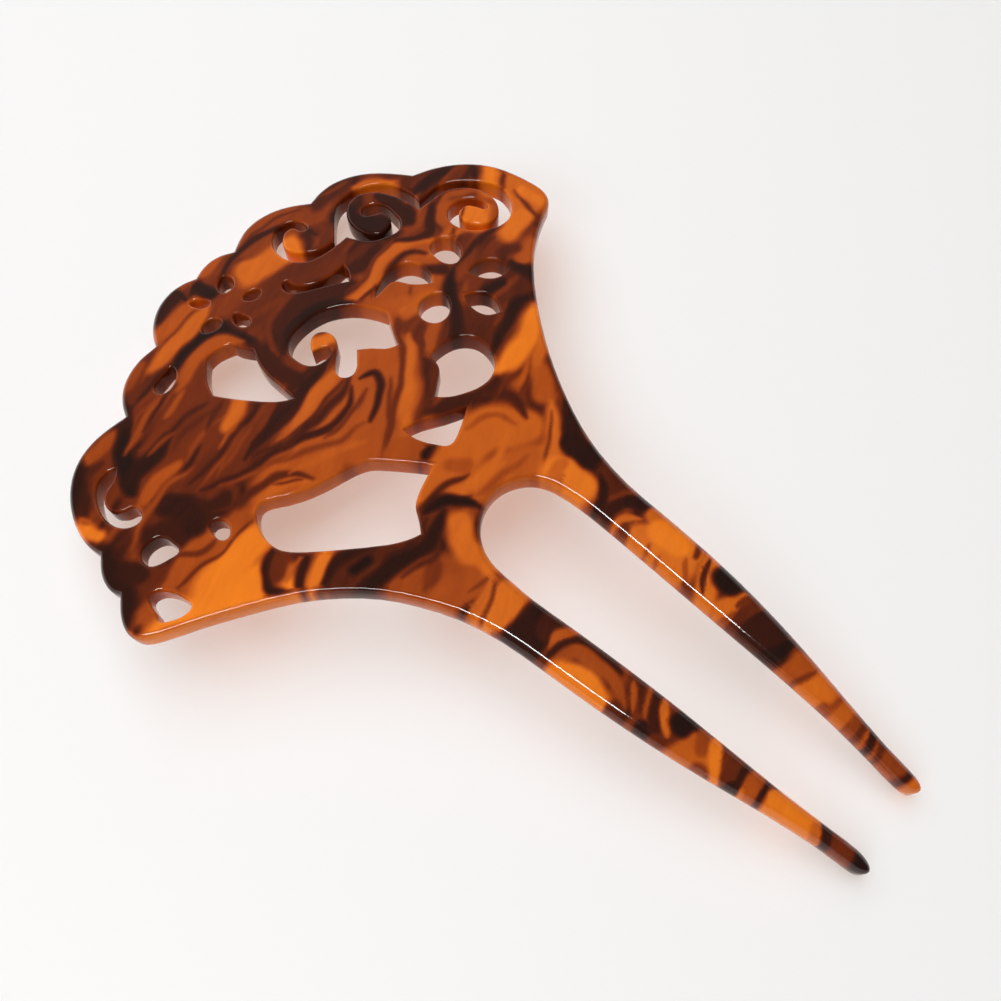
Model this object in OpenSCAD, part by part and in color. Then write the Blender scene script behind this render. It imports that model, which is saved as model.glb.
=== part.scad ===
// Two-pronged hair ornament: a pierced, scalloped fan on two tapering prongs.
// It is cut from one plate and bent to a shallow arch, upper side outwards.
// +X runs across the fan, +Y towards its top, +Z up. It rests on the prong tips and the fan's top.

/* [Pin] */
// Length from the fan's top to the tips of the prongs
pin_l = 125.7; // [115:0.1:140]
// Width across the fan
pin_w = 85.8; // [78:0.1:95]
// Thickness of the plate
plate_t = 3.8; // [3:0.1:5]

/* [Arch] */
// Radius of the bend, on the upper face
arch_r = 194; // [160:1:400]

/* [Prongs] */
// Clear gap between the prongs, halfway down them
prong_gap = 11.8; // [10:0.1:13]
// Width of one prong, halfway down it
prong_w = 5.7; // [4.5:0.1:6.2]

/* [Hidden] */

// Box of the drawn outline: its left, lower, right and upper limits
drawn = [-41.4, -63.6, 44.35, 62.15];
middle = [(drawn[0] + drawn[2]) / 2, (drawn[1] + drawn[3]) / 2];
stretch = [pin_w / (drawn[2] - drawn[0]), pin_l / (drawn[3] - drawn[1])];

// Largest turn between neighbouring sides of a curve, in degrees, and shortest side
side_turn = 10;
side_min = 0.4;

// The arch's inner face, and how far it rises between the two ends
inner_r = arch_r - plate_t;
rise = inner_r - sqrt(inner_r * inner_r - pin_l * pin_l / 4);

// How far the blank goes past the plate at the top and bottom, and sides of a bend's round bar
spare = 2;
bar_sides = 720;

// Outlines are drawn about the prongs' centre line. Each row is [x, y, corner]:
// a smooth curve runs through the rows, and corner 1 marks a sharp point or cusp.

// Rim of the fan, from the left shoulder over the scallops to the right shoulder
fan_rim = [
    [-14.4, -6, 0], [-16.2, -1, 0], [-18.3, 3.2, 0], [-21.2, 7.2, 0], [-25, 11.2, 0],
    [-30, 15.1, 0], [-35.2, 18.8, 0], [-39.2, 21.4, 0], [-40.9, 22.9, 0], [-41.4, 24.6, 0],
    [-40.9, 26.4, 0], [-39.8, 28.1, 0],
    [-38.4, 29.6, 1], [-38.8, 31.2, 0], [-38.4, 33, 0], [-37.5, 34.6, 0],
    [-36.2, 36.1, 1], [-36.4, 38.2, 0], [-36, 40.7, 0], [-35, 43.4, 0], [-33.4, 46.1, 0],
    [-31.2, 48.5, 0], [-28.6, 50.1, 0], [-25.6, 50.8, 0], [-22.6, 50.6, 0],
    [-19.8, 49.9, 1], [-18.7, 52, 0], [-16.9, 54.1, 0], [-14.5, 55.5, 0], [-11.8, 56.1, 0],
    [-8.9, 55.8, 1], [-7.6, 58, 0], [-5.7, 60.1, 0], [-3.3, 61.6, 0], [-0.5, 62.15, 0],
    [1.9, 61.6, 0],
    [3.6, 60.5, 1], [5.4, 61.1, 0], [7.4, 61.1, 0], [9.2, 60.3, 0],
    [10.5, 59, 1], [12.3, 60, 0], [14.8, 60.8, 0], [17.5, 60.6, 0], [20.1, 59.4, 0],
    [22.3, 57.4, 0],
    [23.9, 55.2, 1], [26.3, 55.5, 0], [28.8, 55, 0], [31.2, 53.5, 0], [33.3, 51.1, 0],
    [34.9, 48, 0],
    [36.2, 44.6, 1], [38.6, 43, 0], [40.9, 40.7, 0], [42.7, 37.9, 0], [43.9, 34.6, 0],
    [44.3, 31, 0], [44.3, 27.6, 0], [43.9, 25.2, 0], [42.7, 23.6, 0], [40.3, 22.7, 0],
    [37.6, 21.6, 0], [34, 19.6, 0], [30.1, 16.5, 0], [26.7, 13.1, 0], [23.6, 9.6, 0],
    [20.7, 5.8, 0], [18, 1.6, 0], [15.9, -2.4, 0], [14.4, -6.5, 0]
];

// One prong, from the shoulder down: [y, share of prong_gap, share of prong_w]
prong = [
    [-12, 1.15, 1.14], [-18, 1.1, 1.12], [-26, 1.04, 1.1], [-34, 1, 1], [-42, 0.98, 0.81],
    [-50, 0.95, 0.58], [-57, 0.87, 0.47], [-61, 0.82, 0.46], [-62.8, 0.88, 0.33]
];
// Lowest point of a prong's tip, in the same columns; its width is nought
prong_tip = [-63.6, 1.04, 0];

// Round head of the gap between the prongs, from right to left
gap_head = [
    [6.9, -9, 0], [6.7, -5, 0], [5.9, -2.6, 0], [4.4, -0.9, 0], [2.4, 0.2, 0], [0.2, 0.5, 0],
    [-2, 0, 0], [-4.1, -1.3, 0], [-5.7, -3.3, 0], [-6.5, -5.8, 0], [-6.7, -9, 0]
];

// Long opening in the left shoulder
shoulder_opening = [
    [-1, 9.3, 1], [-2.6, 12.1, 0], [-4.5, 15.1, 0], [-5.6, 16.5, 0], [-7.4, 17.6, 0],
    [-10.3, 18.7, 0], [-13.2, 20, 0], [-15.9, 21.8, 0], [-17.4, 23.1, 0], [-18.6, 23.7, 0],
    [-19.8, 23.2, 0], [-21.1, 21.4, 0], [-21.8, 19, 0], [-21.5, 16.8, 0], [-19.8, 14.3, 0],
    [-16.6, 10.7, 0], [-12.8, 6.8, 0], [-10.7, 5.2, 0],
    [-9.1, 4.4, 1], [-7.8, 5.8, 0], [-6.6, 7.4, 0], [-4.8, 8.3, 0], [-2.6, 8.9, 0]
];
// Five-pointed opening left of the middle
pointed_opening = [
    [-10.2, 41.4, 1], [-9.4, 43.3, 0], [-8.1, 45.1, 0],
    [-6.3, 46.9, 1], [-4.6, 46.8, 0],
    [-2.5, 45.7, 1], [-2.3, 44.2, 0],
    [-1.5, 42.2, 1], [-2.7, 40, 0], [-3.5, 37.3, 0], [-3.8, 34.5, 0],
    [-4.2, 31.4, 1], [-6, 33.2, 0], [-7.8, 36.2, 0], [-9.2, 39, 0]
];
// Arched opening in the middle, with a curl and a tongue standing in it
scroll_opening = [
    [0.7, 35.7, 0], [1.1, 37.4, 0], [2.6, 38.7, 0], [4.7, 39.2, 0], [7.3, 38.9, 0],
    [9.7, 37.8, 0], [11.8, 35.6, 0], [13.1, 33, 0],
    [13.8, 30.2, 1], [12.8, 28.6, 0], [11.7, 27, 0],
    [10.7, 25.3, 1], [9.2, 26.4, 0], [8.2, 28, 0], [6.8, 29.6, 1], [5.7, 28.6, 0],
    [4.5, 27.6, 0], [3.2, 27.3, 0], [2.2, 28.2, 0], [2.4, 29.5, 0], [4, 31, 0],
    [5.7, 32.2, 0], [6.7, 33.9, 0], [6.5, 35.6, 0], [5.2, 36.5, 0], [3.8, 35.8, 0],
    [2.8, 34.4, 1], [3.9, 34, 0], [4.8, 33, 0], [4.1, 32.2, 0], [2.8, 32.1, 0],
    [1.5, 32.7, 0], [0.8, 34, 0]
];
// Moon and wedge above the prongs
moon_opening = [
    [7.3, 15.8, 1], [9.5, 17.1, 0], [11.2, 18.3, 0],
    [11.8, 20.4, 1], [14, 20.3, 0], [16.3, 19.3, 0], [17.6, 17.3, 0], [17.5, 14.9, 0],
    [16.3, 12.7, 0], [14.3, 11.7, 0], [12.2, 11.9, 0], [10.2, 12.9, 0], [8.5, 14.2, 0]
];
wedge_opening = [
    [0.9, 15.9, 1], [3.2, 14.8, 0], [5.8, 12.9, 0],
    [8.5, 11.3, 1], [5.8, 10.1, 0], [3, 9.5, 0], [1.8, 11.1, 0], [0.9, 13.6, 0]
];
// Small leaves and seeds at the right
right_leaf = [
    [26.1, 25.1, 1], [28.2, 24.9, 0], [29.7, 23.5, 0],
    [29.9, 21.1, 1], [28, 21, 0], [26.5, 22.6, 0]
];
left_leaf = [
    [22.4, 22.9, 1], [24, 21.4, 0], [24.4, 19.4, 0],
    [23.2, 17.2, 1], [21.7, 18.5, 0], [21.5, 20.8, 0]
];
left_seed = [
    [16, 25.2, 0], [16.8, 26.7, 0], [18.4, 27.4, 0], [20.2, 26.7, 0], [20.9, 25.2, 0],
    [20, 23.7, 0], [18.3, 22.8, 0], [16.6, 23.3, 0]
];
right_seed = [
    [25.5, 31, 0], [26.4, 32.7, 0], [28, 32.9, 0], [29.2, 31.5, 0], [29, 29.7, 0],
    [28, 28.3, 0], [26.3, 27.8, 0], [25.4, 29, 0]
];
// Arched slit above the left seed
arch_slit = [
    [14.8, 33.4, 1], [17.2, 34.5, 0], [19.9, 34.8, 0], [22, 33.9, 0], [22.9, 32, 0],
    [22.6, 29.8, 0],
    [21.6, 28.3, 1], [20.6, 29.4, 0], [19.6, 31, 0], [19.1, 32.6, 0], [18.4, 33.4, 0],
    [16.5, 33.5, 0]
];
// Bent drop above the scroll
drop_slit = [
    [9.3, 46.9, 0], [8.9, 45.3, 0], [9.6, 43.9, 0], [11.6, 42.1, 0], [13.6, 40.4, 0],
    [15.1, 38.8, 1], [16.3, 40, 0],
    [16.9, 41.5, 1], [14.9, 41.7, 0], [12.8, 42.4, 0], [11.1, 43.7, 0], [10.3, 45.3, 0],
    [10.2, 46.9, 0]
];
// Long slit under the right rim, which runs on into three volutes
volute_slit = [
    [33.6, 27.9, 0], [34.9, 26.9, 0], [37, 26.6, 0], [39.2, 27.9, 0], [40.6, 30.3, 0],
    [40.8, 32.8, 0], [39.8, 35.1, 0], [38.4, 37.5, 0], [36.6, 39.3, 0], [34.4, 39.8, 0],
    [32.2, 39.9, 1], [32.8, 41.6, 0], [33, 44.2, 0], [32.5, 47, 0], [30.9, 49.2, 0],
    [28.6, 50.7, 0], [26, 50.9, 0], [23.7, 49.7, 0], [21.6, 47.8, 0],
    [19.7, 46, 1], [17.9, 46.5, 0], [16.2, 47.7, 0], [15.1, 49.6, 0], [14.8, 51.5, 0],
    [15.6, 53.2, 0], [17.2, 54.3, 0], [18.6, 53.8, 0], [18.8, 52.2, 0], [19.4, 51.6, 0],
    [20, 53, 0], [19.5, 54.7, 0], [18, 55.7, 0], [16, 55.5, 0], [14.3, 53.9, 0],
    [13.5, 51.6, 0], [13.6, 49, 0], [14.7, 46.9, 0], [16.5, 45.9, 0], [18.9, 45.3, 0],
    [21.4, 45, 1], [21.9, 42.9, 0], [22.8, 41, 0], [24.4, 39.8, 0], [26.3, 39, 0],
    [27.8, 40, 0], [28.6, 42, 0], [29, 44.1, 0], [28.3, 46, 0], [26.8, 46.6, 0],
    [25.9, 45.6, 0], [26.7, 44.5, 0], [27.8, 43.4, 0], [27.5, 41.5, 0], [25.9, 40.6, 0],
    [24.2, 41, 0], [23.3, 43, 0], [23.5, 45.7, 0], [24.7, 48.1, 0], [26.6, 49.5, 0],
    [28.8, 49.3, 0], [30.5, 47.4, 0], [31.2, 45, 0], [31.5, 42.2, 0],
    [31.2, 39, 1], [33.4, 38.7, 0], [35.6, 38.2, 0], [37.4, 36.9, 0], [38.7, 34.6, 0],
    [39, 32.1, 0], [38.2, 29.7, 0], [36.4, 28.2, 0], [34.6, 28.4, 0], [33.2, 30, 0],
    [32.9, 31.9, 0], [33.8, 33.5, 0], [35.4, 33.4, 0], [36.1, 31.9, 0], [36.6, 30.4, 0],
    [37.3, 31.6, 0], [36.9, 33.4, 0], [35.6, 34.9, 0], [33.8, 35.2, 0], [32.3, 34.3, 0],
    [31.6, 32.3, 0], [32.2, 29.8, 0]
];
// Five petals of the blossom at the top, clockwise
right_petal = [
    [3.7, 54.1, 0], [4.2, 55.9, 0], [5.7, 56.6, 0], [6.4, 55.6, 0], [5.8, 54.1, 0],
    [4.6, 53.5, 0]
];
lower_right_petal = [[4.4, 50.3, 0], [5.5, 50.7, 0], [6.9, 49.7, 0], [6.6, 48.9, 0], [5.3, 48.7, 0]];
lower_petal = [
    [0.8, 48.6, 0], [1.7, 49.4, 0], [2.2, 48, 0], [2.1, 46.6, 0], [1.2, 46, 0], [0.5, 47, 0]
];
left_petal = [
    [-0.3, 50.6, 0], [-1.1, 51.9, 0], [-2.4, 52.1, 0], [-3.2, 51.1, 0], [-2.5, 50.1, 0],
    [-1.2, 49.7, 0]
];
upper_petal = [
    [-0.4, 57.3, 0], [0.4, 57, 0], [1.1, 55.9, 0], [1.2, 54.6, 0], [0.4, 54.3, 0],
    [-0.4, 55.6, 0]
];
// Crescent round the disc at the left
crescent_slit = [
    [-26.4, 44.2, 1], [-27.9, 44.9, 0], [-29.6, 44.4, 0], [-31.2, 42.6, 0], [-32.2, 40.3, 0],
    [-32.3, 37.7, 0], [-31.4, 35.9, 0], [-29.9, 35.2, 0], [-28.9, 35.9, 0], [-28.9, 37.4, 0],
    [-30.2, 38.2, 0], [-31.1, 39.6, 0], [-30.9, 41.3, 0], [-29.7, 42.6, 0], [-28, 43, 0]
];
// Small shell, bead, heart and comma at the left
shell_opening = [
    [-33.4, 29.3, 0], [-33.4, 30.8, 0], [-32.3, 31.8, 0], [-30.8, 31.7, 0], [-29.6, 30.8, 0],
    [-29.4, 29.1, 0], [-29.7, 27.7, 0], [-31.3, 28, 0], [-32.7, 28.6, 0]
];
bead_opening = [
    [-25.2, 26, 0], [-24.6, 27.1, 0], [-23.6, 26.8, 0], [-23.1, 25.6, 0], [-23.5, 24.5, 0],
    [-24.5, 23.8, 0], [-25.3, 24.4, 0]
];
heart_opening = [
    [-36.4, 26.1, 0], [-35.1, 25.7, 0], [-34.2, 24.2, 0], [-33.8, 22.4, 0], [-33.9, 20.9, 0],
    [-35.3, 20.8, 0], [-36.8, 21.6, 0], [-37.8, 22.7, 0],
    [-37.3, 23.6, 1], [-37, 24.9, 0]
];
comma_opening = [
    [-14.4, 49.3, 0], [-13.6, 50.2, 0], [-12.2, 50.4, 0], [-11, 50.6, 0], [-10.2, 50.5, 0],
    [-10.6, 49.2, 0], [-11.6, 48.2, 0], [-13, 47.7, 0], [-14.1, 48.1, 0]
];

openings = concat(
    [shoulder_opening, pointed_opening, scroll_opening, moon_opening, wedge_opening],
    [right_leaf, left_leaf, left_seed, right_seed, arch_slit, drop_slit, volute_slit],
    [crescent_slit, shell_opening, bead_opening, heart_opening, comma_opening],
    [right_petal, lower_right_petal, lower_petal, left_petal, upper_petal]
);

// A row's place in the plan, centred and stretched to the driving sizes
function place(row) = [(row.x - middle.x) * stretch.x, (row.y - middle.y) * stretch.y];

// Unit vector from one row to another, and the distance between them
function reach(a, b) = norm([b.x - a.x, b.y - a.y]);
function heading(a, b) = [b.x - a.x, b.y - a.y] / reach(a, b);

// Slope at a corner, from the straight line to the next row and the slope there
function corner_slope(chord, other) = 1.5 * chord - 0.5 * other;

// Slopes at the two ends of the curve from b to c, a and d being the rows before and after
function slopes(a, b, c, d) =
    let (
        chord = [c.x - b.x, c.y - b.y],
        start = reach(b, c) * heading(a, c),
        stop = reach(b, c) * heading(b, d)
    )
    b.z == 1 && c.z == 1 ? [chord, chord] :
    b.z == 1 ? [corner_slope(chord, stop), stop] :
    c.z == 1 ? [start, corner_slope(chord, start)] :
    [start, stop];

// Angle between two slopes, and the number of straight sides for the curve between two rows
function turn(s) = acos(max(-1, min(1, s[0] * s[1] / (norm(s[0]) * norm(s[1])))));
function sides(b, c, s) = max(1, min(ceil(turn(s) / side_turn) + 1, floor(reach(b, c) / side_min)));

// Point at share t of the smooth curve between b and c
function curve_point(b, c, s, t) =
    (2 * t * t * t - 3 * t * t + 1) * [b.x, b.y] +
    (t * t * t - 2 * t * t + t) * s[0] +
    (3 * t * t - 2 * t * t * t) * [c.x, c.y] +
    (t * t * t - t * t) * s[1];

// Closed smooth curve through all the rows of a table
function smooth_ring(rows) =
    let (count = len(rows))
    [
        for (i = [0 : count - 1])
        let (
            a = rows[(i + count - 1) % count],
            b = rows[i],
            c = rows[(i + 1) % count],
            d = rows[(i + 2) % count],
            s = slopes(a, b, c, d),
            n = sides(b, c, s)
        )
        for (k = [0 : n - 1])
        place(curve_point(b, c, s, k / n))
    ];

// Inner and outer edge of a prong's row; hand is 1 for the right prong and -1 for the left one
function prong_inner(row, hand) = [hand * prong_gap / 2 * row[1], row[0], 0];
function prong_outer(row, hand) = [hand * (prong_gap / 2 * row[1] + prong_w * row[2]), row[0], 0];

last = len(prong) - 1;
right_prong = concat(
    [for (i = [0 : last]) prong_outer(prong[i], 1)],
    [prong_inner(prong_tip, 1)],
    [for (i = [last : -1 : 0]) prong_inner(prong[i], 1)]
);
left_prong = concat(
    [for (i = [0 : last]) prong_inner(prong[i], -1)],
    [prong_inner(prong_tip, -1)],
    [for (i = [last : -1 : 0]) prong_outer(prong[i], -1)]
);

// The whole pin seen from above
module plan() {
    difference() {
        polygon(smooth_ring(concat(fan_rim, right_prong, gap_head, left_prong)));
        for (rows = openings) polygon(smooth_ring(rows));
    }
}

// A round bar across the pin, whose top stands at the given height over the middle
module bend_bar(r, top) {
    translate([-pin_w, 0, top - r])
        rotate([0, 90, 0])
            cylinder(r = r, h = 2 * pin_w, $fn = bar_sides);
}

// The pin itself, in one piece: pierced fan, neck, shoulders and two prongs
module hairpin() {
    color([0.55, 0.22, 0.06])
        difference() {
            intersection() {
                translate([0, 0, -spare])
                    linear_extrude(height = rise + plate_t + 2 * spare)
                        plan();
                bend_bar(arch_r, rise + plate_t);
            }
            bend_bar(inner_r, rise);
        }
}

hairpin();
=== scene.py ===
"""Looks of a two-pronged tortoiseshell hairpin: a pierced, scalloped fan on an arched plate.

The rounded plate is made from the outlines of the frame's own solid, so it follows it exactly.
Its streaks are drawn as tapered strokes and kept on the mesh, and the material adds the
fine grain between them.
"""

import math

import bmesh
import bpy
import numpy as np
from mathutils import Matrix, Vector
from mathutils.geometry import delaunay_2d_cdt


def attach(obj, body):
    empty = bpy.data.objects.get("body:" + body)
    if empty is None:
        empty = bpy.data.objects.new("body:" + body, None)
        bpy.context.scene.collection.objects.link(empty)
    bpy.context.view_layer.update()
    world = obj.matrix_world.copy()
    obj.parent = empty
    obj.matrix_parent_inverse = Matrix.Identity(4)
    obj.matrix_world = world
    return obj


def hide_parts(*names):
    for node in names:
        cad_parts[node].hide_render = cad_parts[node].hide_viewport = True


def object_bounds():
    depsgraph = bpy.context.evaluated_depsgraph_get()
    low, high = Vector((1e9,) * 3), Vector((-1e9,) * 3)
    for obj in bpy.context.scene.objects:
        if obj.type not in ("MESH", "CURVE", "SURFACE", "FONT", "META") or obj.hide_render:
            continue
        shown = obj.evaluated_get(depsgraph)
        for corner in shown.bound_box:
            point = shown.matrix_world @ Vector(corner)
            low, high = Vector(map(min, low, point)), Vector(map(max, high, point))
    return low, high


bl_info = {
    "name": "Pierced Fan Hairpin",
    "version": (1, 0, 0),
    "blender": (4, 5, 0),
    "location": "View3D > Sidebar > Hairpin",
    "description": "Makes a polished, pierced hairpin with two prongs, and a plain stage for it",
    "category": "Add Mesh",
}

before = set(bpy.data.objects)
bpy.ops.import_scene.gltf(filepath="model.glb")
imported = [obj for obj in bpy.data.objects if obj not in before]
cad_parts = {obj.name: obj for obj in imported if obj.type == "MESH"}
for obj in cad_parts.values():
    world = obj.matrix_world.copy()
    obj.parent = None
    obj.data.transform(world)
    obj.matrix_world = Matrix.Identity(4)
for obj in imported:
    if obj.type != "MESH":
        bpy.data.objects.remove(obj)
CAD_LOW, CAD_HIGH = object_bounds()
NODE = "hairpin"
MM = 0.001

# Bend of the plate, as in the solid: radius of its upper face, and the plate's thickness
ARCH_RADIUS = 194 * MM
PLATE = 3.8 * MM
# Where the origin of the drawn outline and streaks lies in the frame, in millimetres
DRAWN_ORIGIN = (-1.475, 0.725)

# In plan, the fan ends at the first of these and the prongs' own edge is full at the second
FAN_END, PRONG_START = 2 * MM, -14 * MM
# Longest side of an outline, on the fan and on the prongs
FAN_SIDE, PRONG_SIDE = 1.2 * MM, 0.4 * MM
# A point stays in an outline only where the outline turns there by more than this sine
LEAST_BEND = 0.002
# A rounded edge takes this share of the room it has, and is never narrower than the second. Its
# width is evened out along the outline this many times
ROOM_SHARE, LEAST_EDGE = 0.93, 0.35 * MM
EVENINGS = 6
# At a sharp corner a ring lies no more than 2 / LEAST_MITRE times as far in as elsewhere
LEAST_MITRE = 0.8
# Where the rings of points lie across the rounded edge: closer together where it is steeper, and
# the last one just past it
RING_SHARES = [1 - math.cos(math.radians(angle)) for angle in (20, 40, 60, 75, 90)] + [1.2]
# Neighbours in a ring that are further apart than this aren't joined
RING_GAP = 2.5 * MM
# Share of a grid step that a grid point keeps away from the rings
GRID_GAP = 0.4
# An edge narrower than this share of its dome's height is lowered to match
FULL_DOME = 0.8
# Points of the solid, and points of the plate's faces and walls, that are merged
CAD_MERGE, PLATE_MERGE = 0.001 * MM, 0.002 * MM
# How many points are measured against the outlines at a time
BATCH = 1500
# The walls' painted glow, and their lower gloss, fade out over this distance from the rim
WALL_FADE = 0.5 * MM
# Edges that are sharper than this stay crisp
CREASE = math.radians(42)


def length_property(name, description, default):
    """A size in metres for the panel."""
    return bpy.props.FloatProperty(
        name=name, description=description, default=default, subtype="DISTANCE", unit="LENGTH"
    )


def colour_property(name, description, default):
    """A colour for the panel."""
    return bpy.props.FloatVectorProperty(
        name=name, description=description, default=default, subtype="COLOR", size=3, min=0, max=1
    )


class HairpinSizes(bpy.types.PropertyGroup):
    """Sizes of the polished edges and of the mesh."""

    rim_edge: length_property("Rim edge", "Width of the polished edge round the fan", 0.8 * MM)
    opening_edge: length_property("Opening edge", "Width of the edge round an opening", 0.5 * MM)
    fan_dome: length_property("Fan dome", "Height of the rounding on the fan", 1.0 * MM)
    prong_edge: length_property("Prong edge", "Width of the rounded edge on a prong", 2.3 * MM)
    prong_dome: length_property("Prong dome", "Height of the rounding on a prong", 1.5 * MM)
    upper_grid: length_property("Upper grid", "Step between points on the upper face", 0.31 * MM)
    under_grid: length_property("Under grid", "Step between points on the underside", 0.9 * MM)


class HairpinColours(bpy.types.PropertyGroup):
    """Colours of the acetate, from its darkest streaks to its clearest."""

    smoke: colour_property("Smoke", "Darkest streaks", (0.009, 0.0050, 0.0040))
    umber: colour_property("Umber", "Dark brown streaks", (0.050, 0.0095, 0.0040))
    chestnut: colour_property("Chestnut", "Red-brown ground", (0.165, 0.0245, 0.0045))
    amber: colour_property("Amber", "Orange-brown streaks", (0.380, 0.0650, 0.0065))
    honey: colour_property("Honey", "Clear orange streaks", (0.580, 0.1190, 0.0090))
    glow: colour_property("Glow", "Clearest places", (0.850, 0.2100, 0.0110))


# The grain of the acetate runs at this angle across the fan
GRAIN_TURN = math.radians(20)
# Tone of the ground under the streaks
GROUND_TONE = 0.36
# Softness of a streak's sides for each millimetre of width, and the most it comes to. Streaks that
# lie wholly below PRONG_TOP are on the prongs, and have crisper sides
FAN_BLUR, PRONG_BLUR, MOST_BLUR = 0.56, 0.36, 1.8
PRONG_TOP = -1.0
# Points that a streak's curve has between two of those drawn
CURVE_STEPS = 6
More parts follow.
